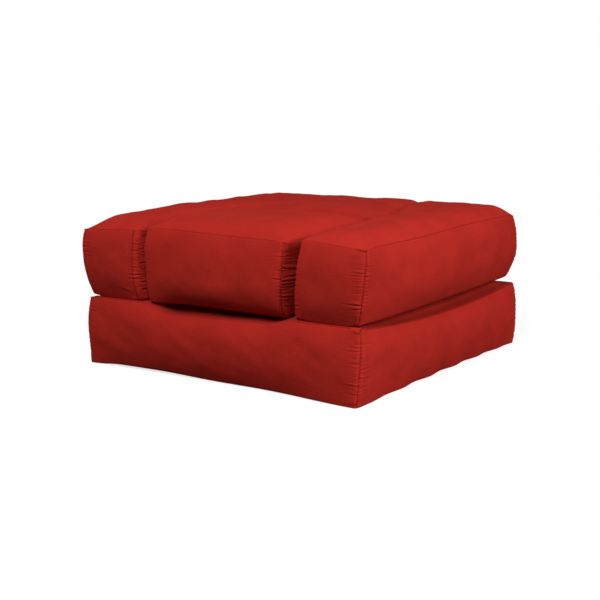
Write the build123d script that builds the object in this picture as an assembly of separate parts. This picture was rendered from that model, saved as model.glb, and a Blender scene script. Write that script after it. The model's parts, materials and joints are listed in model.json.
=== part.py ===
from build123d import *
import os

# A chair bed of three stuffed cushions: a full base, a horseshoe upper layer that is sewn to the
# base along the front of its two arms, and a centre cushion that fills the horseshoe's slot.
# The upper layer folds forward over the front edge and makes a bed of twice the depth.
# The centre cushion folds up and back onto the horseshoe's rear bar, and the front half of the
# base is then the seat of a low armchair.
# Millimetres; X across the arms, Y from front to back, Z up, origin under the middle.

# Sizes of the whole, from seam to seam
mattress_width = 930.0
mattress_depth = 948.0
arm_width = 204.0
seat_depth = 475.0

# Heights. The upper layer turns about the fold, so the two layers are equally high
fold_height = 216.0
base_low_seam = 8.0

# How far the crown of each top stands over its seams. The base's seams sink towards the rear
base_front_rise = 17.0
base_rear_rise = 32.0
upper_rise = 27.0
centre_rise = 30.0

# Gaps between the cushions, from seam to seam
side_gap = 26.0
hinge_gap = 24.0
layer_gap = 0.6

# How the stuffing shapes the covers
wall_swell = 10.0
seam_draw = 4.0
corner_radius = 14.0
base_crown_inset = 92.0
upper_crown_inset = 76.0
centre_crown_inset = 104.0
belly_inset = 45.0
hinge_shoulder = 14.0

# The curve from a seam to the flat of a crown or belly, as pairs of inset and rise
crown_shares = ((0.0, 0.0), (0.12, 0.38), (0.38, 0.76), (1.0, 1.0))
belly_shares = ((0.0, 0.0), (1.0, 1.0))

# The curves of a wall and of the foam behind it, as pairs of height and swell
wall_shares = ((0.0, 0.0), (0.26, 1.0), (0.74, 1.0), (1.0, 0.0))
foam_shares = ((0.0, 0.0), (0.5, 1.0), (1.0, 0.0))

# Cloth and fit
cover_thickness = 1.5
fill_clearance = 0.3
joint_clearance = 0.5
seat_clearance = 0.3

# Cloth hinges, each two flaps that meet at a stitched bead on the line that they turn about
hinge_cloth = 1.5
hinge_bead_radius = 1.5
centre_hinge_width = 230.0

# Where the centre hinge's flaps end on the shoulders that they are sewn to
flap_end_share = 0.8

# Places worked out from the sizes
half_width = mattress_width / 2
front_reach = wall_swell + joint_clearance + hinge_bead_radius
front = (front_reach - wall_swell - mattress_depth) / 2
rear = front + mattress_depth
slot_end = front + seat_depth
slot_half = half_width - arm_width
centre_half = slot_half - side_gap
centre_rear = slot_end - hinge_gap
base_top = fold_height - layer_gap / 2
upper_bottom = fold_height + layer_gap / 2
back_hinge_z = 2 * fold_height - hinge_bead_radius
upper_top = back_hinge_z - joint_clearance
back_hinge_y = slot_end - hinge_gap / 2
front_hinge_y = front - wall_swell - joint_clearance

# Seams as a pair of heights, at the front edge of the base and at its rear edge
base_low = (base_low_seam, base_low_seam)
base_high = (fold_height - base_front_rise, fold_height - base_rear_rise)
upper_low = (upper_bottom + cover_thickness, upper_bottom + cover_thickness)
upper_high = (2 * fold_height - upper_rise, 2 * fold_height - upper_rise)
centre_high = (2 * fold_height - centre_rise, 2 * fold_height - centre_rise)


def base_plan(inset, hinge_inset):
    """Corners of the base, counter-clockwise from the front left. No edge of it lies at the slot."""
    return [
        (-half_width + inset, front + inset),
        (half_width - inset, front + inset),
        (half_width - inset, rear - inset),
        (-half_width + inset, rear - inset),
    ]


def upper_plan(inset, hinge_inset):
    """Corners of the horseshoe, counter-clockwise from the front left of its left arm."""
    return [
        (-half_width + inset, front + inset),
        (-slot_half - inset, front + inset),
        (-slot_half - inset, slot_end + hinge_inset),
        (slot_half + inset, slot_end + hinge_inset),
        (slot_half + inset, front + inset),
        (half_width - inset, front + inset),
        (half_width - inset, rear - inset),
        (-half_width + inset, rear - inset),
    ]


def centre_plan(inset, hinge_inset):
    """Corners of the centre cushion, counter-clockwise from its front left."""
    return [
        (-centre_half + inset, front + inset),
        (centre_half - inset, front + inset),
        (centre_half - inset, centre_rear - hinge_inset),
        (-centre_half + inset, centre_rear - hinge_inset),
    ]


# The walls of each cushion in the order of its corners, each with how far the stuffing draws the
# middle of its seams in. Only the long free sides are drawn in
base_walls = [("front_wall", 0), ("right_wall", seam_draw), ("rear_wall", seam_draw), ("left_wall", seam_draw)]
upper_walls = [
    ("left_arm_front", 0),
    ("left_arm_inner_wall", 0),
    ("slot_end_wall", 0),
    ("right_arm_inner_wall", 0),
    ("right_arm_front", 0),
    ("right_wall", seam_draw),
    ("rear_wall", seam_draw),
    ("left_wall", seam_draw),
]
centre_walls = [("front_wall", 0), ("right_wall", 0), ("rear_wall", 0), ("left_wall", 0)]


def between(low, high, share):
    """The pair of heights at a share of the way from low to high."""
    return tuple(a + (b - a) * share for a, b in zip(low, high))


def lifted(x, y, heights):
    """The point above a place in plan, on the plane that a pair of heights gives."""
    at_front, at_rear = heights
    return Vector(x, y, at_front + (at_rear - at_front) * (y - front) / mattress_depth)


def corner_points(before, corner, after, radius):
    """Five points round a corner in plan: its start, a quarter, its middle, three quarters, its end."""
    arrive = (corner - before).normalized()
    leave = (after - corner).normalized()
    centre = corner + (leave - arrive) * radius
    outward = (arrive - leave).normalized()
    spokes = [-leave, outward - leave, outward, outward + arrive, arrive]
    return [centre + spoke.normalized() * radius for spoke in spokes]


def side_run(start, end, bow, heights):
    """One side of an outline: an arc that bows outwards by bow, or inwards where it is negative."""
    if bow == 0:
        return Edge.make_line(lifted(start.X, start.Y, heights), lifted(end.X, end.Y, heights))
    along = (end - start).normalized()
    middle = (start + end) * 0.5 + Vector(along.Y, -along.X, 0) * bow
    return arc_through((start, middle, end), heights)


def arc_through(points, heights):
    """The arc through three places in plan, lifted to a pair of heights."""
    return Edge.make_three_point_arc(*[lifted(point.X, point.Y, heights) for point in points])


def outline(corners, bows, heights):
    """A closed wire with a bow on each side and a round at each corner."""
    count = len(corners)
    plan = [Vector(x, y, 0) for x, y in corners]
    rounds = [corner_points(plan[i - 1], plan[i], plan[(i + 1) % count], corner_radius) for i in range(count)]
    edges = []
    for i in range(count):
        following = rounds[(i + 1) % count]
        edges.append(side_run(rounds[i][-1], following[0], bows[i], heights))
        edges.append(arc_through((following[0], following[2], following[4]), heights))
    return Wire(edges)


def wall_levels(low, high, shares, draws):
    """The heights at each level of the sides, how far they swell there, and the bow of each side."""
    levels = []
    for height_share, swell_share in shares:
        bows = [-draw * (1 - swell_share) for draw in draws]
        levels.append((between(low, high, height_share), wall_swell * swell_share, bows))
    return levels


def wall_panel(plan, side, low, high, draws):
    """One wall of a cover: a strip between two corner seams, swollen by the stuffing."""
    count = len(draws)
    sections = []
    for heights, swell, bows in wall_levels(low, high, wall_shares, draws):
        rims = []
        for inset in (-swell, cover_thickness - swell):
            points = [Vector(x, y, 0) for x, y in plan(inset, inset)]
            before, start, end, after = (points[(side + step) % count] for step in (-1, 0, 1, 2))
            opening = corner_points(before, start, end, corner_radius)
            closing = corner_points(start, end, after, corner_radius)
            rims.append((opening, closing))
        (out_open, out_close), (in_open, in_close) = rims
        out_edges = [
            arc_through(out_open[2:], heights),
            side_run(out_open[4], out_close[0], bows[side], heights),
            arc_through(out_close[:3], heights),
        ]
        in_edges = [
            arc_through(in_close[2::-1], heights),
            side_run(in_close[0], in_open[4], -bows[side], heights),
            arc_through(in_open[:1:-1], heights),
        ]
        far_end = side_run(out_close[2], in_close[2], 0, heights)
        near_end = side_run(in_open[2], out_open[2], 0, heights)
        sections.append(Wire([*out_edges, far_end, *in_edges, near_end]))
    return Solid.make_loft(sections, ruled=True)


def cap(plan, seam, plateau, inset, shares, draws, shrink):
    """The domed part beyond a seam, rising or sinking to a flat plateau, steep beside a hinge."""
    top = (plateau, plateau)
    bows = [-draw for draw in draws]
    sections = []
    for inset_share, rise_share in shares:
        corners = plan(shrink + inset * inset_share, shrink + hinge_shoulder * inset_share)
        sections.append(outline(corners, bows, between(seam, top, rise_share)))
    return Solid.make_loft(sections, ruled=True)


def foam_core(plan, low, high, shrink, straight):
    """The foam inside the walls, with straight sides."""
    sections = []
    for heights, swell, _ in wall_levels(low, high, foam_shares, straight):
        sections.append(outline(plan(shrink - swell, shrink - swell), straight, heights))
    return Solid.make_loft(sections, ruled=True)


def cushion(name, plan, walls, seams, plateaus, crown_inset, below_inset):
    """All the pieces of one cushion, by node name. Its underside is flat inside below_inset."""
    low, high = seams
    bottom, top = plateaus
    draws = [draw for _, draw in walls]
    straight = [0] * len(walls)
    lining = cover_thickness + fill_clearance
    shrink = lining + seam_draw
    parts = {}
    for side, (wall, _) in enumerate(walls):
        parts[f"{name}_{wall}"] = wall_panel(plan, side, low, high, draws)
    crown = (crown_inset, crown_shares, draws)
    belly = (below_inset, belly_shares)
    inside_crown = cap(plan, high, top - cover_thickness, *crown, cover_thickness)
    parts[f"{name}_top_panel"] = cap(plan, high, top, *crown, 0) - inside_crown
    wadding = cap(plan, high, top - lining, crown_inset, crown_shares, straight, shrink)
    parts[f"{name}_top_wadding"] = wadding
    bottom_panel = cap(plan, low, bottom, *belly, draws, 0)
    if below_inset:
        inside_belly = cap(plan, low, bottom + cover_thickness, *belly, draws, cover_thickness)
        bottom_panel = bottom_panel - inside_belly
        core = foam_core(plan, low, high, shrink, straight)
        core = core + cap(plan, low, bottom + lining, *belly, straight, shrink)
    else:
        raised = tuple(height + fill_clearance for height in low)
        core = foam_core(plan, raised, high, shrink, straight)
    parts[f"{name}_bottom_panel"] = bottom_panel
    parts[f"{name}_foam_core"] = core
    return parts


def flap(root, edge, start, x_low, x_high):
    """A strip of hinge cloth from start beyond its root to just short of the edge it is sewn to."""
    root_at = Vector(0, *root)
    edge_at = Vector(0, *edge)
    along = (edge_at - root_at).normalized()
    across = Vector(0, -along.Z, along.Y) * (hinge_cloth / 2)
    near = root_at + along * start
    far = edge_at - along * seat_clearance
    profile = Face(Wire.make_polygon([near + across, far + across, far - across, near - across]))
    strip = extrude(profile, amount=x_high - x_low, dir=(1, 0, 0))
    return Pos(x_low, 0, 0) * strip


def bead(axis_at, x_low, x_high):
    """The stitched bead along a hinge's line."""
    y, z = axis_at
    roll = Cylinder(hinge_bead_radius, x_high - x_low, rotation=(0, 90, 0))
    return Pos((x_low + x_high) / 2, y, z) * roll


def front_hinge(x_low, x_high):
    """The two flaps of a front hinge: the base's, with the bead, and the upper layer's."""
    axis_at = (front_hinge_y, fold_height)
    clear = hinge_bead_radius + joint_clearance
    base_flap = flap(axis_at, (front, base_high[0]), 0, x_low, x_high) + bead(axis_at, x_low, x_high)
    upper_flap = flap(axis_at, (front, upper_low[0]), clear, x_low, x_high)
    return base_flap, upper_flap


def centre_hinge():
    """The two flaps behind the centre cushion: the rear bar's, with the bead, and the cushion's."""
    reach = centre_hinge_width / 2
    clear = hinge_bead_radius + joint_clearance
    cloth_z = back_hinge_z - layer_gap / 2 - hinge_cloth / 2
    root = (back_hinge_y, cloth_z)
    onto_crown = hinge_shoulder * flap_end_share
    bar_flap = flap(root, (slot_end + onto_crown, cloth_z), 0, -reach, reach)
    bar_flap = bar_flap + bead((back_hinge_y, back_hinge_z), -reach, reach)
    centre_flap = flap(root, (centre_rear - onto_crown, cloth_z), clear, -reach, reach)
    return bar_flap, centre_flap


nodes = {}
base_levels = ((base_low, base_high), (0, base_top))
upper_levels = ((upper_low, upper_high), (upper_bottom, upper_top))
centre_levels = ((upper_low, centre_high), (upper_bottom, upper_top))
nodes |= cushion("base", base_plan, base_walls, *base_levels, base_crown_inset, belly_inset)
nodes |= cushion("upper", upper_plan, upper_walls, *upper_levels, upper_crown_inset, 0)
nodes |= cushion("centre", centre_plan, centre_walls, *centre_levels, centre_crown_inset, 0)

arm_inside = slot_half + corner_radius
arm_outside = half_width - corner_radius
left_flaps = front_hinge(-arm_outside, -arm_inside)
right_flaps = front_hinge(arm_inside, arm_outside)
nodes["left_hinge_base_flap"], nodes["left_hinge_upper_flap"] = left_flaps
nodes["right_hinge_base_flap"], nodes["right_hinge_upper_flap"] = right_flaps
nodes["centre_hinge_bar_flap"], nodes["centre_hinge_seat_flap"] = centre_hinge()

os.makedirs("parts", exist_ok=True)
for name, shape in nodes.items():
    export_step(shape, f"parts/{name}.step")
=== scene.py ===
import json
import math

import bpy
import numpy as np
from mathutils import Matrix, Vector


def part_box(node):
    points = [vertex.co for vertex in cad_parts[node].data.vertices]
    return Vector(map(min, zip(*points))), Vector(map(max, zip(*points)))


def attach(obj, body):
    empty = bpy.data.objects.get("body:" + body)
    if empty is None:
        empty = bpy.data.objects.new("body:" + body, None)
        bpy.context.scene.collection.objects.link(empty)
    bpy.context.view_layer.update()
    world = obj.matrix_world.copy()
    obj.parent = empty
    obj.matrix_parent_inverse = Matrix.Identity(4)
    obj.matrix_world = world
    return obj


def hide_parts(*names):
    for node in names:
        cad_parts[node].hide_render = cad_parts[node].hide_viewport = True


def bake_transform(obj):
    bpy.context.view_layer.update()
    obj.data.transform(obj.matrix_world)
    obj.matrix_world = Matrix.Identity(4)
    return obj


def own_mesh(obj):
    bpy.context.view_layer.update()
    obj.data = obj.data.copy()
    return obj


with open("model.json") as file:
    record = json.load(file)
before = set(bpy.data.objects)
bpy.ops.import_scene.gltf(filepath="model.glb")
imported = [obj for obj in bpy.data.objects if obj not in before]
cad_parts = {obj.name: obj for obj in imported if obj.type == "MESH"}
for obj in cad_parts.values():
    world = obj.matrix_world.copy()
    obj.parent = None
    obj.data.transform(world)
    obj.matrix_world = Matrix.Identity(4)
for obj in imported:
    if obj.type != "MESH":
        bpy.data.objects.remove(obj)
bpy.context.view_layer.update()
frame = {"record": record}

# Base cushion: the lower square of the chair bed, one foam block in a cotton cover that is sewn
# from a top, a bottom and four side strips. Its rim sags half way back and between the arms in front.
MM = 0.001
grid_step = 9 * MM
same_place = 1e-9
(left, front, _), (right, rear, _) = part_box("base_top_panel")
_, (half, centre_rear, _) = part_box("centre_top_panel")
slot = half + 26 * MM
arm_start = slot + 1 * MM
base_top = 215.4 * MM
bottom_roll = 45 * MM

left_side, right_side = (0, left, -1, (front, rear)), (0, right, 1, (front, rear))
front_side, rear_side = (1, front, -1, (left, right)), (1, rear, 1, (left, right))
left_front, left_rear = (left, front, 1, 1), (left, rear, 1, -1)
right_front, right_rear = (right, front, -1, 1), (right, rear, -1, -1)


def graded(stops, step):
    """Grid lines through the stops, close together beside each of them and a step apart between."""
    near = np.array([0, 1.3, 2.8, 4.8, 7.4, 10.6, 14.6, 19.4, 25.2, 32.0]) * MM
    lines = [np.array([stops[0]])]
    for start, end in zip(stops[:-1], stops[1:]):
        reach = near[near < (end - start) / 2]
        open_part = end - start - 2 * reach[-1]
        count = max(round(open_part / step), 1)
        inner = start + reach[-1] + open_part * np.arange(1, count) / count
        lines += [start + reach[1:], inner, end - reach[:0:-1], np.array([end])]
    return np.concatenate(lines)


def skin(xs, ys, rows, filled):
    """Grid indices of the points on the skin round the filled cells, and its quads."""
    ny, nz = len(ys), len(rows)
    cells = np.pad(filled, 1)
    quads = []

    def add_quads(cell, corners):
        i, j = cell
        numbers = [((i + a) * ny + j + b)[:, None] * nz + k for a, b, k in corners]
        quads.append(np.stack(np.broadcast_arrays(*numbers), -1).reshape(-1, 4))

    whole = np.nonzero(filled)
    top, bottom = np.array([nz - 1]), np.array([0])
    add_quads(whole, [(0, 0, top), (1, 0, top), (1, 1, top), (0, 1, top)])
    add_quads(whole, [(0, 0, bottom), (0, 1, bottom), (1, 1, bottom), (1, 0, bottom)])
    low = np.arange(nz - 1)
    high = low + 1
    for step_x, step_y, start, end in ((1, 0, (1, 0), (1, 1)), (-1, 0, (0, 1), (0, 0)),
                                       (0, 1, (1, 1), (0, 1)), (0, -1, (0, 0), (1, 0))):
        end_x, end_y = cells.shape[0] - 1 + step_x, cells.shape[1] - 1 + step_y
        beside = cells[1 + step_x:end_x, 1 + step_y:end_y]
        add_quads(np.nonzero(filled & ~beside), [(*start, low), (*end, low), (*end, high), (*start, high)])
    used, quads = np.unique(np.concatenate(quads), return_inverse=True)
    return (used // nz // ny, used // nz % ny, used % nz), quads.reshape(-1, 4)


def smooth(value):
    """From 0 to 1 as the value goes from 0 to 1, level at both ends."""
    value = np.clip(value, 0, 1)
    return value * value * (3 - 2 * value)


def bell(distance, width):
    """1 at no distance, and next to nothing from two widths on."""
    return np.exp(-((distance / width) ** 2))


def dome(distance, width, power=2.3):
    """From 0 at a seam to 1 at a width from it, steep at first and level at the end."""
    return 1 - (1 - np.clip(distance / width, 0, 1)) ** power


def bulge(up):
    """How far a wall swells at a share of its height: 0 at both seams, 1 half way."""
    return (4 * up * (1 - up)).clip(0, 1) ** 0.95


def swell(up, puff, tuck, peak):
    """A wall's way out from its top seam: a puff at the peak height, then a tuck in at the bottom."""
    above = puff * (1 - ((up - peak).clip(0) / (1 - peak)) ** 2.6)
    below = puff - (puff + tuck) * ((peak - up).clip(0, 1) / peak) ** 2.1
    return np.where(up > peak, above, below)


def middle(along):
    """0 at both ends of a side and 1 in its middle."""
    return np.sin(math.pi * np.clip(along, 0, 1)).clip(0, 1) ** 0.6


def ripple(points, wavelength, seed):
    """A soft random unevenness between about -1 and 1, with waves of about one length."""
    random = np.random.default_rng(seed)
    total = np.zeros(len(points))
    for _ in range(9):
        direction = random.normal(size=3)
        direction *= random.uniform(0.6, 1.5) / np.linalg.norm(direction)
        phase = random.uniform(0, 2 * math.pi)
        total += np.sin(points @ direction * 2 * math.pi / wavelength + phase)
    return total / 3


class Cushion:
    """A stuffed cover on a grid: each point's place on the cut cloth and in space, and the quads.

    A side is (axis it faces along, its line, 1 or -1 for outward, its two ends). A corner is (x, y,
    inward x, inward y). The share of height is 0 at the bottom seam and 1 at the top seam.
    """

    row_height = 1.7 * MM
    end_blur = 14 * MM

    def __init__(self, xs, ys, filled, sides, low, high, top, bottom):
        height = float(np.mean(high(xs, ys[0]) - low(xs, ys[0])))
        rows = graded([0.0, height], self.row_height) / height
        (i, j, k), self.quads = skin(xs, ys, rows, filled)
        self.sides = sides
        self.x, self.y, self.share = xs[i], ys[j], rows[k]
        around = np.pad(filled, 1)
        self.edge = ~(around[i, j] & around[i + 1, j] & around[i, j + 1] & around[i + 1, j + 1])
        self.on_top, self.on_bottom = k == len(rows) - 1, k == 0
        self.low, self.high = low(self.x, self.y), high(self.x, self.y)
        z = self.low + (self.high - self.low) * self.share
        z = np.where(self.on_top & ~self.edge, top(self.x, self.y), z)
        z = np.where(self.on_bottom & ~self.edge, bottom(self.x, self.y), z)
        self.points = np.stack([self.x, self.y, z], 1)
        # How strongly shade is painted into the colour at each point, along the seams.
        self.seam = np.zeros(len(z))

    def across_along(self, axis):
        """Each point's place across and along the sides that face along an axis."""
        return (self.x, self.y) if axis == 0 else (self.y, self.x)

    def push_side(self, side, shape, fade=70 * MM):
        """Pushes one side out by shape(share along, share of height), fading over the top and bottom."""
        axis, line, outward, (start, end) = side
        across, along = self.across_along(axis)
        inward = (line - across) * outward
        beyond = np.maximum(np.maximum(start - along, along - end), 0)
        past_end = np.where(beyond > same_place, bell(inward, self.end_blur), 0)
        weight = np.where(inward >= -same_place, (1 - inward / fade).clip(0, 1) ** 2, past_end)
        share_along = ((along - start) / (end - start)).clip(0, 1)
        push = shape(share_along, self.share) * weight * bell(beyond, self.end_blur)
        self.points[:, axis] += push * outward

    def round_corner(self, corner, radius):
        """Rounds one upright corner in plan."""
        x, y, inward_x, inward_y = corner
        a, b = (self.x - x) * inward_x, (self.y - y) * inward_y
        inset = np.minimum(a, b)
        along = np.maximum(a, b) - inset
        rest = np.maximum(radius - inset, same_place)
        near = (inset >= -same_place) & (along < rest) & (inset < radius)
        turn = math.pi / 4 * (1 - along / rest)
        new_along, new_across = inset + rest * (1 - np.sin(turn)), inset + rest * (1 - np.cos(turn))
        self.points[near, 0] += ((np.where(a >= b, new_along, new_across) - a) * inward_x)[near]
        self.points[near, 1] += ((np.where(a >= b, new_across, new_along) - b) * inward_y)[near]

    def pucker(self, corner, seed, depth, reach_x=26 * MM, reach_y=26 * MM):
        """Short creases that run out from an upright seam, by one reach on each of its two walls."""
        crease_width, puff_width, puff_above, held = 1.9 * MM, 3 * MM, 4.4 * MM, 2 * MM
        x, y, inward_x, inward_y = corner
        random = np.random.default_rng(seed)
        z = self.points[:, 2]
        for axis, line, inward, away, reach in ((1, y, inward_y, np.abs(self.x - x), reach_y),
                                                (0, x, inward_x, np.abs(self.y - y), reach_x)):
            across = self.across_along(axis)[0]
            near = self.edge & (np.abs(across - line) < same_place) & (away < 2 * reach)
            height, last = z[near].min() + 8 * MM, z[near].max() - 6 * MM
            push = np.zeros(near.sum())
            while height < last:
                strong = random.random() < 0.3
                length = reach * (random.uniform(1.0, 1.6) if strong else random.uniform(0.4, 1.0))
                deep = depth * (random.uniform(0.8, 1.2) if strong else random.uniform(0.25, 0.6))
                off = z[near] - height - random.normal(0, 0.07) * away[near]
                fall = (1 - away[near] / length).clip(0, 1) ** 0.7 * smooth((away[near] + held) / (2 * held))
                push += fall * deep * (0.6 * bell(off - puff_above, puff_width) - bell(off, crease_width))
                height += random.uniform(5, 11) * MM
            self.points[near, axis] -= push * inward

    def gather(self, corner, seed):
        """Fine creases that fan out over the top panel from one of its corners."""
        depth, width, reach, held = 3.4 * MM, 2 * MM, 50 * MM, 6 * MM
        first, last, turn = 0.12, 1.5, 0.17
        x, y = corner[:2]
        random = np.random.default_rng(seed)
        away = np.hypot(self.x - x, self.y - y)
        near = self.on_top & (away < reach * 1.3) & (away > 0)
        angle = np.arctan2(np.abs(self.y[near] - y), np.abs(self.x[near] - x))
        away = away[near]
        push = np.zeros(near.sum())
        for bearing in np.arange(first, last, turn):
            off = (angle - bearing - random.normal(0, 0.04)) * away
            length = reach * random.uniform(0.5, 1.2)
            fall = (1 - away / length).clip(0, 1) * smooth(away / held)
            push -= depth * random.uniform(0.4, 1) * bell(off, width) * fall
        self.points[near, 2] += push

    def normals(self):
        """The outward normal at each point."""
        a, b, c, d = (self.points[self.quads[:, n]] for n in range(4))
        faces = np.cross(c - a, d - b)
        total = np.zeros_like(self.points)
        for n in range(4):
            np.add.at(total, self.quads[:, n], faces)
        return total / np.linalg.norm(total, axis=1, keepdims=True).clip(1e-12)

    def rim_distance(self):
        """Distance on the cloth from the seams round the top and the bottom."""
        plan = np.full(len(self.x), rear - front)
        for axis, line, _, (start, end) in self.sides:
            across, along = self.across_along(axis)
            beyond = np.maximum(np.maximum(start - along, along - end), 0)
            plan = np.minimum(plan, np.hypot(across - line, beyond))
        wall = np.minimum(self.share, 1 - self.share) * (self.high - self.low)
        return np.where(self.on_top | self.on_bottom, plan, wall)

    def sew(self, distance, painted_shade, depth=1.5 * MM, width=1.1 * MM):
        """Draws the cloth in along a seam, and paints shade into its colour there. Distance is each point's
        from the seam.
        """
        weight = bell(distance, width)
        self.points -= self.normals() * (weight * depth)[:, None]
        self.seam = np.maximum(self.seam, weight * painted_shade)

    def sew_upright(self, x, y, painted_shade, width):
        """Sews the upright seam at one place of the walls, with its painted shade."""
        self.sew(np.where(self.edge, np.hypot(self.x - x, self.y - y), rear - front), painted_shade, width=width)

    def loosen(self, seed):
        """Leaves the cloth a little uneven away from its seams, and almost flat underneath."""
        held = 40 * MM
        uneven = 1.5 * MM * ripple(self.points, 150 * MM, seed)
        uneven += 0.5 * MM * ripple(self.points, 52 * MM, seed + 9)
        uneven *= (1 - bell(self.rim_distance(), held)) * (1 - 0.9 * self.on_bottom)
        self.points += self.normals() * uneven[:, None]


def linear(text):
    """A linear RGBA colour from an sRGB hex value."""
    levels = [int(text[i:i + 2], 16) / 255 for i in (1, 3, 5)]
    return (*[v / 12.92 if v <= 0.04045 else ((v + 0.055) / 1.055) ** 2.4 for v in levels], 1)


def add(tree, kind, settings=None, values=None, links=None):
    """Adds a node with its settings, its input values and the links to its inputs."""
    node = tree.nodes.new(kind)
    for key, value in (settings or {}).items():
        setattr(node, key, value)
    for key, value in (values or {}).items():
        node.inputs[key].default_value = value
    for key, socket in (links or {}).items():
        tree.links.new(socket, node.inputs[key])
    return node


# Plain woven cotton, dyed red and washed soft. It is matt, with a faint lint sheen at grazing
# angles, slubs along the threads, and a dye that has faded in patches. Shade is painted into the
# colour as thin dark lines along the seams, where the stitches pull the cloth in. Inputs 6 and 7
# of a colour mix are its two colours.
slub_width, slub_length, fade_patch = 1.8 * MM, 26 * MM, 90 * MM
red_cotton = bpy.data.materials.new("woven cotton, red")
red_cotton.use_nodes = True
tree = red_cotton.node_tree
tree.nodes.clear()
place = add(tree, "ShaderNodeTexCoord").outputs["Object"]
slub_grain = add(tree, "ShaderNodeMapping", None,
                 {"Scale": (1 / slub_width, 1 / slub_width, 1 / slub_length)}, {"Vector": place})
slubs = add(tree, "ShaderNodeTexNoise", None, {"Scale": 1.0, "Detail": 2.0},
            {"Vector": slub_grain.outputs[0]})
fade_marks = add(tree, "ShaderNodeTexNoise", None, {"Scale": 1 / fade_patch, "Detail": 3.0},
                 {"Vector": place})
mottle = add(tree, "ShaderNodeMath", {"operation": "ADD"}, None,
             {0: slubs.outputs["Fac"], 1: fade_marks.outputs["Fac"]})
fading = add(tree, "ShaderNodeMapRange", None, {"From Min": 0.6, "From Max": 1.4},
             {"Value": mottle.outputs[0]})
dye = add(tree, "ShaderNodeMix", {"data_type": "RGBA"}, {6: linear("#A6271F"), 7: linear("#BC2E26")},
          {0: fading.outputs[0]})
# Painted shade: the seam attribute darkens the colour towards a shadow red along each seam.
seam_shade = add(tree, "ShaderNodeAttribute", {"attribute_name": "seam"})
colour = add(tree, "ShaderNodeMix", {"data_type": "RGBA"}, {7: linear("#7A1A14")},
             {0: seam_shade.outputs["Fac"], 6: dye.outputs[2]})

# The real threads lie about 0.6 mm apart, too fine to show at this size, so the weave is drawn with
# a band for every ten threads. A wave texture has 20 / (2 * pi) bands to the unit at scale 1.
weave_band = 6 * MM
wave_scale = 2 * math.pi / 20 / weave_band
warp = add(tree, "ShaderNodeTexWave", {"bands_direction": "X"},
           {"Scale": wave_scale, "Distortion": 0.6}, {"Vector": place})
weft = add(tree, "ShaderNodeTexWave", {"bands_direction": "Z"},
           {"Scale": wave_scale, "Distortion": 0.6}, {"Vector": place})
threads = add(tree, "ShaderNodeMath", {"operation": "ADD"}, None,
              {0: warp.outputs["Fac"], 1: weft.outputs["Fac"]})
weave = add(tree, "ShaderNodeBump", None, {"Strength": 0.6, "Distance": 0.2 * MM},
            {"Height": threads.outputs[0]})
surface = add(tree, "ShaderNodeBsdfPrincipled", None, {
    "Roughness": 1.0, "Sheen Weight": 0.02, "Sheen Roughness": 0.5,
    "Sheen Tint": linear("#E8A090"), "Specular IOR Level": 0.0,
}, {"Base Color": colour.outputs[2], "Normal": weave.outputs[0]})
add(tree, "ShaderNodeOutputMaterial", None, None, {"Surface": surface.outputs[0]})


def cloth(name, cushion, body):
    """The cushion as a mesh that rides on its body and stands for the body's nodes, save hinge flaps."""
    mesh = bpy.data.meshes.new(name)
    mesh.vertices.add(len(cushion.points))
    mesh.vertices.foreach_set("co", cushion.points.astype(np.float32).ravel())
    mesh.loops.add(cushion.quads.size)
    mesh.loops.foreach_set("vertex_index", cushion.quads.astype(np.int32).ravel())
    mesh.polygons.add(len(cushion.quads))
    mesh.polygons.foreach_set("loop_start", np.arange(0, cushion.quads.size, 4, dtype=np.int32))
    mesh.update(calc_edges=True)
    mesh.polygons.foreach_set("use_smooth", np.ones(len(cushion.quads), bool))
    # The painted seam shade goes to the material as the seam attribute.
    seam = mesh.attributes.new("seam", "FLOAT", "POINT")
    seam.data.foreach_set("value", cushion.seam.astype(np.float32))
    mesh.materials.append(red_cotton)
    piece = bpy.data.objects.new(name, mesh)
    bpy.context.scene.collection.objects.link(piece)
    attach(piece, body)
    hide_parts(*[n for n in frame["record"]["behaviour"]["bodies"][body] if "hinge" not in n])
    return piece


def base_rim(x, y):
    """Height of the top seam: 200 mm in front, 174 half way back, 198 behind, less between the arms."""
    back = (y - front) / (rear - front)
    sag = (20 - 25 * x) * smooth((arm_start - np.abs(x)) / (110 * MM)) * smooth(1 - back / 0.25)
    return (200 - 101 * back + 99 * back ** 2 - sag) * MM


def base_crown(x, y):
    """Height of the top panel: full in its middle, with a groove beside each of the side seams."""
    between = smooth((arm_start - np.abs(x)) / (80 * MM))
    crown = smooth((x - left) / (360 * MM)) * smooth((right - x) / (360 * MM)) * dome(rear - y, 92 * MM)
    crown *= between * smooth((y - front) / (240 * MM)) + (1 - between) * dome(y - front, 92 * MM)
    groove = bell(np.minimum(x - left, right - x) - 45 * MM, 28 * MM) * smooth((y - front) / (200 * MM))
    return base_rim(x, y) + (base_top - base_rim(x, y)) * crown - 3.5 * MM * groove


def base_hem(x, y):
    """Height of the bottom seam: almost on the floor at the corners, and lifted at the left in front."""
    corner = np.hypot(np.minimum(x - left, right - x), np.minimum(y - front, rear - y))
    lift = smooth((x - left - 20 * MM) / (90 * MM)) * smooth((20 * MM - x) / (250 * MM))
    return (2 - 1.5 * bell(corner, 150 * MM) + 6 * lift * bell(y - front, 60 * MM)) * MM


def base_belly(x, y):
    """Height of the bottom panel, which lies on the floor inside its seam."""
    inside = dome(np.minimum(x - left, right - x), bottom_roll, power=2)
    inside *= dome(np.minimum(y - front, rear - y), bottom_roll, power=2)
    return base_hem(x, y) * (1 - inside)


xs, ys = graded([left, right], grid_step), graded([front, rear], grid_step)
base = Cushion(xs, ys, np.ones((len(xs) - 1, len(ys) - 1), bool),
               (left_side, right_side, front_side, rear_side), base_hem, base_rim, base_crown, base_belly)

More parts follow.
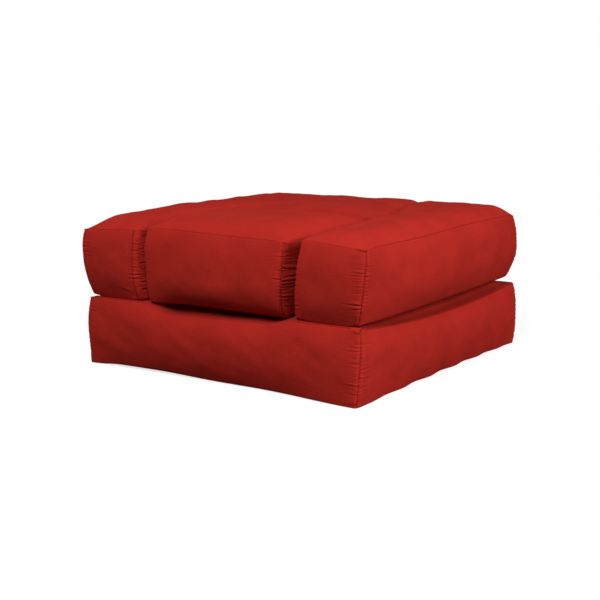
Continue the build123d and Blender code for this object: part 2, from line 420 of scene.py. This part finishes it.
# The seams are drawn in at the middle of each wall, less in front, and the wall puffs out between.
for side, drawn, tuck in ((left_side, 8, 2), (right_side, 8, 2), (front_side, 3, 7), (rear_side, 8, 2)):
    base.push_side(side, lambda along, up: MM * (
        3 - drawn * middle(along) + swell(up, 9 + 17 * middle(along), tuck * middle(along) - 4, 0.58)))

# The foot of the right wall waves, the left wall draws in at its front end, and the foot of the
# front wall spreads out towards the right.
base.push_side(right_side, lambda along, up: 4 * MM * middle(along) * (1 - up) ** 3 * np.sin(
    2 * math.pi * (5.2 * along + 0.9 * along ** 2)))
base.push_side(left_side, lambda along, up: -6 * MM * smooth(1 - along / 0.15) * bulge(up))
base.push_side(front_side, lambda along, up: 23 * MM * smooth((along - 0.62) / 0.36) * (1 - up) ** 1.3)

# Upright seams, more puckered at the right.
for corner, seed, depth in ((left_front, 111, 1.3), (left_rear, 109, 1.3),
                            (right_front, 91, 2.3), (right_rear, 89, 2.3)):
    base.round_corner(corner, 13 * MM)
    base.pucker(corner, seed, depth * MM)
base.gather(left_front, seed=453)
base.gather(right_front, seed=546)

# The rim seam's painted shade is strong where the seam lies in shadow under the upper layer, and weak at the
# front, where it shows pale.
rim_painted_shade = np.where(base.y > front + 4 * MM, 0.95, 0.3)
base.sew(base.rim_distance(), rim_painted_shade, depth=1 * MM, width=1.8 * MM)
for x, y in ((left, front), (left, rear), (right, front), (right, rear)):
    base.sew_upright(x, y, painted_shade=0.9, width=1.9 * MM)
base.loosen(seed=12)
cloth("base_cushion", base, "base")

# Upper layer: a foam horseshoe in its own cover, two arms in front and a bar across the rear. Its
# bottom is sewn to the base along the arms' front edges, so it gapes open towards the rear.
slot_end = centre_rear + 24 * MM
arm_seam = -slot - 26 * MM
upper_top = 450.6 * MM
bar_front_height = 429.5 * MM

# Soft furrows of the top, two deep ones that start near the slot's right corner. Each is its depth,
# its width and its places in mm, with the share of the depth at each place.
upper_furrows = (
    (10, 20, ((246, 62, 1.2), (205, 190, 0.7), (160, 340, 0.9), (148, 460, 1))),
    (7, 22, ((246, 64, 1), (150, 110, 0.7), (40, 130, 0.4), (-80, 170, 0))),
    (3, 17, ((-320, 300, 0), (-200, 360, 1), (-50, 360, 1), (80, 310, 0))),
    (3, 15, ((-350, 140, 0), (-240, 170, 1), (-80, 200, 0))),
    (3, 12, ((-150, 350, 0), (0, 290, 1), (140, 210, 0.8), (240, 150, 0))),
)


def furrow(x, y, depth, width, places):
    """How deep a soft valley is at x and y. Its depth, width and places are in mm."""
    total = np.zeros(np.shape(x + y))
    for (start_x, start_y, start_share), (end_x, end_y, end_share) in zip(places[:-1], places[1:]):
        off_x, off_y = x / MM - start_x, y / MM - start_y
        run_x, run_y = end_x - start_x, end_y - start_y
        along = ((off_x * run_x + off_y * run_y) / (run_x ** 2 + run_y ** 2)).clip(0, 1)
        away = np.hypot(off_x - along * run_x, off_y - along * run_y)
        share = start_share + along * (end_share - start_share)
        total = np.maximum(total, share * bell(away, width))
    return depth * MM * total


def crease(cushion, side, start, end, depth, width=3 * MM):
    """One fold on a wall, between two places given as distance along the side and height."""
    axis, line, outward, _ = side
    across, along = cushion.across_along(axis)
    near = cushion.edge & (np.abs(across - line) < same_place)
    a, b = along[near] - start[0], cushion.points[near, 2] - start[1]
    run_a, run_b = end[0] - start[0], end[1] - start[1]
    run = math.hypot(run_a, run_b)
    share = (a * run_a + b * run_b) / run ** 2
    off = (b * run_a - a * run_b) / run
    fall = smooth(share / 0.5) * smooth((1.15 - share) / 0.2)
    shape = 0.7 * bell(off - 1.6 * width, 1.3 * width) - bell(off, width)
    cushion.points[near, axis] += fall * depth * shape * outward


def upper_low(x, y):
    """Height of the bottom seam: drawn down to the base in front of the arms, 16 mm up at the rear."""
    back = ((y - front) / (rear - front)).clip(0, 1)
    in_slot = (np.abs(x) < arm_start) & (y < slot_end + 1 * MM)
    arm = smooth((np.abs(x) - 280 * MM) / (30 * MM)) * smooth((455 * MM - np.abs(x)) / (30 * MM))
    return np.where(in_slot, 208, 206 + 16 * back ** 1.6 - 5 * bell(y - front, 60 * MM) * arm) * MM


def upper_rim(x, y):
    """Height of the top seam: it rises to the rear, and towards the slot where the arms are full."""
    by_slot = (1 - (np.abs(x) - slot).clip(0) / (right - slot)).clip(0, 1)
    by_slot *= 1 - smooth((y - slot_end) / (120 * MM))
    rise = np.where(x > 0, 15, 8) * by_slot + 12.5 * smooth((y + 250 * MM) / (500 * MM))
    left_sag = smooth(-x / (400 * MM)) * smooth(-y / (400 * MM))
    rear_corner = bell(np.hypot(right - x, rear - y), 60 * MM)
    return (404 + rise - 4 * left_sag - 4 * rear_corner) * MM


def upper_crown(x, y):
    """Height of the top panel: full over the bar, lower over the arms, low where the hinge holds it."""
    crown = dome(x - left, 64 * MM) * dome(right - x, 76 * MM)
    crown *= dome(y - front, 90 * MM) * dome(rear - y, 60 * MM)
    crown *= dome(np.hypot((np.abs(x) - slot).clip(0), (y - slot_end).clip(0)), 72 * MM)
    drop = 12 * (1 - smooth((y + 420 * MM) / (320 * MM))) + 3 * smooth((x - 100 * MM) / (300 * MM))
    rim = upper_rim(x, y)
    z = rim + (upper_top - drop * MM - rim) * crown
    bar_front = bell((y - slot_end).clip(0), 48 * MM) * smooth((slot - np.abs(x)) / (60 * MM))
    z = z + (bar_front_height - z) * bar_front
    return z - sum(furrow(x, y, *line) for line in upper_furrows)


def upper_belly(x, y):
    """Height of the underside, which hangs a little below its seams where the base falls away."""
    inside = np.minimum(np.minimum(x - left, right - x), np.minimum(y - front, rear - y))
    inside = np.minimum(inside, np.hypot((np.abs(x) - slot).clip(0), (y - slot_end).clip(0)))
    rim = upper_low(x, y)
    slack = np.clip(base_crown(x, y) + 3 * MM, rim - 16 * MM, base_top + 1.8 * MM)
    return rim + (slack - rim) * dome(inside, 60 * MM, power=2)


xs = graded([left, arm_seam, -slot, slot, right], grid_step)
ys = graded([front, slot_end, rear], grid_step)
cell_x, cell_y = (xs[1:] + xs[:-1]) / 2, (ys[1:] + ys[:-1]) / 2
horseshoe = ~((np.abs(cell_x) < slot)[:, None] & (cell_y < slot_end)[None, :])
arm_fronts = ((1, front, -1, (left, -slot)), (1, front, -1, (slot, right)))
slot_left, slot_right = (0, -slot, 1, (front, slot_end)), (0, slot, -1, (front, slot_end))
slot_rear = (1, slot_end, -1, (-slot, slot))
upper_sides = (left_side, right_side, rear_side, *arm_fronts, slot_left, slot_right, slot_rear)
upper = Cushion(xs, ys, horseshoe, upper_sides, upper_low, upper_crown, upper_crown, upper_belly)

# The outer walls puff out and tuck in at their bottom seam. Both arms lean out at their front ends,
# the left one at its foot too, and the right wall draws in at the top of its rear end.
for side in (left_side, right_side, rear_side):
    upper.push_side(side, lambda along, up: MM * (
        4 + swell(up, 7 + 14 * middle(along), 16, 0.62 - 0.12 * middle(along))))
for side, poke in ((left_side, 15), (right_side, 12)):
    upper.push_side(side, lambda along, up: poke * MM * smooth(1 - along / 0.12) * smooth((up - 0.2) / 0.8))
upper.push_side(left_side, lambda along, up: 13 * MM * smooth(1 - along / 0.15) * (1 - up) ** 1.6)
upper.push_side(right_side, lambda along, up: -6 * MM * (
    smooth((along - 0.88) / 0.12) * smooth((up - 0.6) / 0.4)))

# The arms' front walls puff out in the same way. The slot's walls are almost flat, but the right one
# leans away from the slot at the top of its front end, so that the gap beside the cushion shows.
for side in arm_fronts:
    upper.push_side(side, lambda along, up: MM * (
        2 + swell(up, 7 + 12 * middle(along), 11, 0.62 - 0.14 * middle(along))))
upper.push_side(slot_left, lambda along, up: MM * (1 + 7 * along) * bulge(up))
upper.push_side(slot_right, lambda along, up: MM * (
    (8 - 32 * up) * (1 - along) ** 1.5 + (2 + 7 * along) * bulge(up)))
upper.push_side(slot_rear, lambda along, up: MM * (8 * up + 6 * bulge(up)))

# Upright seams. The right corners are the more puckered, and two folds run to the left arm's inner
# corner, where the wall is pinched.
for corner, radius, seed, depth in ((left_front, 11, 1487, 1.3), (left_rear, 11, 1582, 1.3),
                                    (right_front, 11, 2417, 3.2), (right_rear, 18, 2512, 3.2)):
    upper.round_corner(corner, radius * MM)
    upper.pucker(corner, seed, depth * MM)
left_arm_corner, right_arm_corner = (-slot, front, -1, 1), (slot, front, 1, 1)
upper.round_corner(left_arm_corner, 24 * MM)
upper.pucker(left_arm_corner, 299, 3.4 * MM, reach_x=40 * MM, reach_y=30 * MM)
crease(upper, arm_fronts[0], (-345 * MM, 240 * MM), (-274 * MM, 219 * MM), depth=2.6 * MM)
crease(upper, arm_fronts[0], (-330 * MM, 226 * MM), (-268 * MM, 209 * MM), depth=1.8 * MM)
upper.round_corner(right_arm_corner, 13 * MM)
upper.pucker(right_arm_corner, 301, 3.4 * MM, reach_x=26 * MM, reach_y=14 * MM)
for corner, seed in ((left_front, 553), (left_arm_corner, 573), (right_arm_corner, 626), (right_front, 646)):
    upper.gather(corner, seed)
upper.sew(upper.rim_distance(), painted_shade=0.75)
for x, y in ((left, front), (right, front), (left, rear), (right, rear), (arm_seam, front),
             (slot, front), (-slot, slot_end), (slot, slot_end)):
    upper.sew_upright(x, y, painted_shade=0.85, width=1.5 * MM)
upper.loosen(seed=11)
upper_piece = cloth("upper_layer", upper, "upper_layer")
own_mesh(upper_piece)

# Centre cushion: a foam block in its own cover, which fills the slot between the arms. It hangs on a
# cloth hinge at its rear top edge, and folds up and back over the bar to clear the seat.
centre_top = 451.5 * MM
hinge_height = 429 * MM

# Soft furrows of the top, given as those of the upper layer are.
centre_furrows = (
    (3, 24, ((-170, -260, 0), (-70, -320, 1), (100, -385, 1), (200, -420, 0))),
    (2.5, 12, ((-200, -180, 0), (-50, -225, 1), (100, -275, 1), (200, -310, 0))),
    (2, 10, ((-130, -115, 0), (-40, -95, 1), (60, -80, 0))),
)


def centre_rim(x, y):
    """Height of the top seam: higher at the left, and up at the hinge at the rear."""
    at_hinge = smooth((y - centre_rear + 60 * MM) / (60 * MM)) * smooth((half - np.abs(x)) / (60 * MM))
    z = (413 - 6 * x / half) * MM
    return z + (hinge_height - z) * at_hinge


def centre_crown(x, y):
    """Height of the top panel, which flattens towards the hinge."""
    crown = dome(x + half, 62 * MM) * dome(half - x, 84 * MM) * dome(y - front, 96 * MM)
    crown *= 0.1 + 0.9 * dome(centre_rear - y, 120 * MM)
    rim = centre_rim(x, y)
    return rim + (centre_top - rim) * crown - sum(furrow(x, y, *line) for line in centre_furrows)


def centre_low(x, y):
    """Height of the bottom seam, which hangs lower in front, most at the right."""
    return (217 - (17.5 + 3 * x / half) * smooth(1 - (y - front) / (120 * MM))) * MM


def centre_belly(x, y):
    """Height of the underside, level with its seam at the rear."""
    inside = np.minimum(np.minimum(x + half, half - x), np.minimum(y - front, centre_rear - y))
    return centre_low(x, y) + (217.5 * MM - centre_low(x, y)) * dome(inside, bottom_roll, power=2)


centre_left, centre_right = (0, -half, -1, (front, centre_rear)), (0, half, 1, (front, centre_rear))
centre_front, centre_back = (1, front, -1, (-half, half)), (1, centre_rear, 1, (-half, half))
xs, ys = graded([-half, half], grid_step), graded([front, centre_rear], grid_step)
centre = Cushion(xs, ys, np.ones((len(xs) - 1, len(ys) - 1), bool),
                 (centre_left, centre_right, centre_front, centre_back),
                 centre_low, centre_rim, centre_crown, centre_belly)

# The left wall puffs out towards its arm, the right one draws in at the foot of its front end, and
# the front wall tucks in far, except at its left end.
centre.push_side(centre_left, lambda along, up: MM * (9 + 7 * bulge(up)))
centre.push_side(centre_right, lambda along, up: MM * (
    (2 + 12 * smooth(along / 0.12)) * bulge(up) - 17 * (1 - up) * (1 - along)))
centre.push_side(centre_front, lambda along, up: MM * (
    swell(up, 9 + 15 * middle(along), 3 + 15 * smooth(along / 0.3), 0.6 - 0.22 * middle(along))
    - (4 + 17 * smooth(along / 0.3)) * (1 - up) ** 17))
centre.push_side(centre_back, lambda along, up: MM * (7 * up + 3 * bulge(up)))

# Upright seams. The right front one has long puckers.
centre_left_front, centre_right_front = (-half, front, 1, 1), (half, front, -1, 1)
centre.round_corner(centre_left_front, 15 * MM)
centre.round_corner((-half, centre_rear, 1, -1), 9 * MM)
centre.pucker(centre_left_front, 3765, 1.6 * MM, reach_x=20 * MM, reach_y=16 * MM)
centre.round_corner(centre_right_front, 21 * MM)
centre.round_corner((half, centre_rear, -1, -1), 9 * MM)
centre.pucker(centre_right_front, 4235, 3.4 * MM, reach_x=60 * MM, reach_y=22 * MM)
centre.gather(centre_left_front, seed=676)
centre.gather(centre_right_front, seed=723)
centre.sew(centre.rim_distance(), painted_shade=0.75)
for x, y in ((-half, front), (-half, centre_rear), (half, front), (half, centre_rear)):
    centre.sew_upright(x, y, painted_shade=0.6, width=1.1 * MM)
centre.loosen(seed=14)
centre_piece = cloth("centre_cushion", centre, "centre_cushion")
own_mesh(centre_piece)

# Cloth hinges: doubled strips of the cover cloth, sewn into the seams that they join. Two lie folded
# in the front seam under the arms, and one bridges the crease behind the centre cushion.
arm_profile = ((-464, 199.6), (-468, 200.1), (-471.5, 200.6), (-467, 201.1), (-460, 201.6))
centre_profile = ((-1, 426), (-7, 427.5), (-12, 425), (-15.5, 417), (-16.5, 409))


def hinge(name, profile, span, flaps, seed, ear=0):
    """A strip of cloth along x, from a profile of (y, z) places in mm, folded where it lies between two
    bodies.

    An ear is how far the strip sticks out of the seam at its right end.
    """
    across_count, along_count, ear_length = 25, 60, 30 * MM
    places = np.array(profile) * MM
    run = np.r_[0, np.cumsum(np.hypot(*np.diff(places, axis=0).T))]
    steps = np.linspace(0, run[-1], across_count)
    y, z = np.interp(steps, run, places[:, 0]), np.interp(steps, run, places[:, 1])
    xs = np.linspace(span[0], span[1], along_count)
    wave = 0.8 * MM * ripple(np.stack([xs, 0 * xs, 0 * xs], 1), 60 * MM, seed)
    fold = np.sin(math.pi * steps / run[-1])
    out = ear * smooth((xs - span[1] + ear_length) / ear_length)
    points = [(x + o * f / 2, b + (w - o) * f, c - o * f / 2)
              for x, w, o in zip(xs, wave, out) for b, c, f in zip(y, z, fold)]
    first = [i * across_count + j for i in range(along_count - 1) for j in range(across_count - 1)]
    faces = [(n, n + across_count, n + across_count + 1, n + 1) for n in first]
    faces += [tuple(range(across_count)), tuple(range(len(points) - across_count, len(points)))[::-1]]
    mesh = bpy.data.meshes.new(name)
    mesh.from_pydata(points, [], faces)
    mesh.polygons.foreach_set("use_smooth", np.ones(len(faces), bool))
    mesh.materials.append(red_cotton)
    strip = bpy.data.objects.new(name, mesh)
    bpy.context.scene.collection.objects.link(strip)
    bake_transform(strip)
    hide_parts(*flaps)


for side, past_right, ear, seed in (("left", 1 * MM, 0, 16), ("right", 7 * MM, 15 * MM, 17)):
    (flap_left, _, _), (flap_right, _, _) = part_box(f"{side}_hinge_base_flap")
    hinge(f"{side}_hinge_cloth", arm_profile, (flap_left - 1 * MM, flap_right + past_right),
          (f"{side}_hinge_base_flap", f"{side}_hinge_upper_flap"), seed, ear)
(flap_left, _, _), (flap_right, _, _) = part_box("centre_hinge_bar_flap")
hinge("centre_hinge_cloth", centre_profile, (flap_left, flap_right),
      ("centre_hinge_bar_flap", "centre_hinge_seat_flap"), seed=18)

# Floor: a studio sweep of white paper that the chair bed stands on. It isn't part of the object.
# Matt paper shows no reflection. It glows so that the shadows on it stay pale, and fades to the
# white of the backdrop between two distances from the middle.
fade_start, fade_end = 0.9, 2.2
bpy.ops.mesh.primitive_plane_add(size=60)
floor = bpy.context.object
floor.name = "floor"
floor.location.z = -0.2 * MM
paper = bpy.data.materials.new("matt paper, white")
paper.use_nodes = True
tree = paper.node_tree
tree.nodes.clear()
glow = add(tree, "ShaderNodeEmission", None, {"Strength": 0.74})
lit = add(tree, "ShaderNodeBsdfDiffuse", None, {"Color": linear("#B0B0B0")})
near = add(tree, "ShaderNodeAddShader", None, None, {0: glow.outputs[0], 1: lit.outputs[0]})
far = add(tree, "ShaderNodeEmission", None, {"Strength": 1.0})
place = add(tree, "ShaderNodeTexCoord")
length = add(tree, "ShaderNodeVectorMath", {"operation": "LENGTH"}, None, {0: place.outputs["Object"]})
fade = add(tree, "ShaderNodeMapRange", {"interpolation_type": "SMOOTHSTEP"},
           {"From Min": fade_start, "From Max": fade_end}, {"Value": length.outputs["Value"]})
seen = add(tree, "ShaderNodeMixShader", None, None,
           {0: fade.outputs[0], 1: near.outputs[0], 2: far.outputs[0]})
bounce = add(tree, "ShaderNodeBsdfDiffuse", None, {"Color": linear("#585858")})
ray = add(tree, "ShaderNodeLightPath")
mix = add(tree, "ShaderNodeMixShader", None, None,
          {0: ray.outputs["Is Camera Ray"], 1: bounce.outputs[0], 2: seen.outputs[0]})
add(tree, "ShaderNodeOutputMaterial", None, None, {"Surface": mix.outputs[0]})
floor.data.materials.append(paper)

# Camera: the photograph's place, in front and to the right, a little above the seat. The shifts are
# shares of the picture's width.
azimuth, elevation, distance = math.radians(33.3), math.radians(9.2), 3.566
target = np.array([0, 2.5 * MM, 202.5 * MM])
back = np.array([math.sin(azimuth) * math.cos(elevation), -math.cos(azimuth) * math.cos(elevation),
                 math.sin(elevation)])
camera = bpy.data.objects.new("camera", bpy.data.cameras.new("camera"))
bpy.context.scene.collection.objects.link(camera)
camera.location = target + back * distance
camera.rotation_euler = (math.pi / 2 - elevation, 0, azimuth)
camera.data.lens = 69.5
camera.data.shift_x = -0.0172
camera.data.shift_y = -0.0208
bpy.context.scene.camera = camera

# Light: a dim white studio with soft boxes, bright ones at the right and in front, and weaker ones
# overhead, at the left and behind. The world is plain white to the camera alone.
world = bpy.data.worlds.new("studio")
bpy.context.scene.world = world
world.use_nodes = True
tree = world.node_tree
tree.nodes.clear()
ray = add(tree, "ShaderNodeLightPath")
glow = add(tree, "ShaderNodeBackground", None, {"Color": (1, 1, 1, 1), "Strength": 0.062})
white = add(tree, "ShaderNodeBackground", None, {"Color": (1, 1, 1, 1), "Strength": 1.0})
mix = add(tree, "ShaderNodeMixShader", None, None,
          {0: ray.outputs["Is Camera Ray"], 1: glow.outputs[0], 2: white.outputs[0]})
add(tree, "ShaderNodeOutputWorld", None, None, {"Surface": mix.outputs[0]})
aim = Vector((0, 0, 0.2))
for name, place, size, watts in (
        ("right", (3.9, -0.6, 1.85), 1.7, 122), ("front, high", (0.3, -2.0, 3.2), 1.8, 5),
        ("front", (0.6, -2.75, 2.7), 1.6, 74), ("left", (-3.2, -0.8, 1.6), 1.8, 30),
        ("rear", (-0.6, 3.6, 1.4), 1.8, 45)):
    soft_box = bpy.data.objects.new(name, bpy.data.lights.new(name, "AREA"))
    bpy.context.scene.collection.objects.link(soft_box)
    soft_box.data.size = size
    soft_box.data.energy = watts
    soft_box.location = place
    soft_box.rotation_euler = (Vector(place) - aim).to_track_quat("Z", "Y").to_euler()

bpy.context.scene.view_settings.view_transform = "Standard"
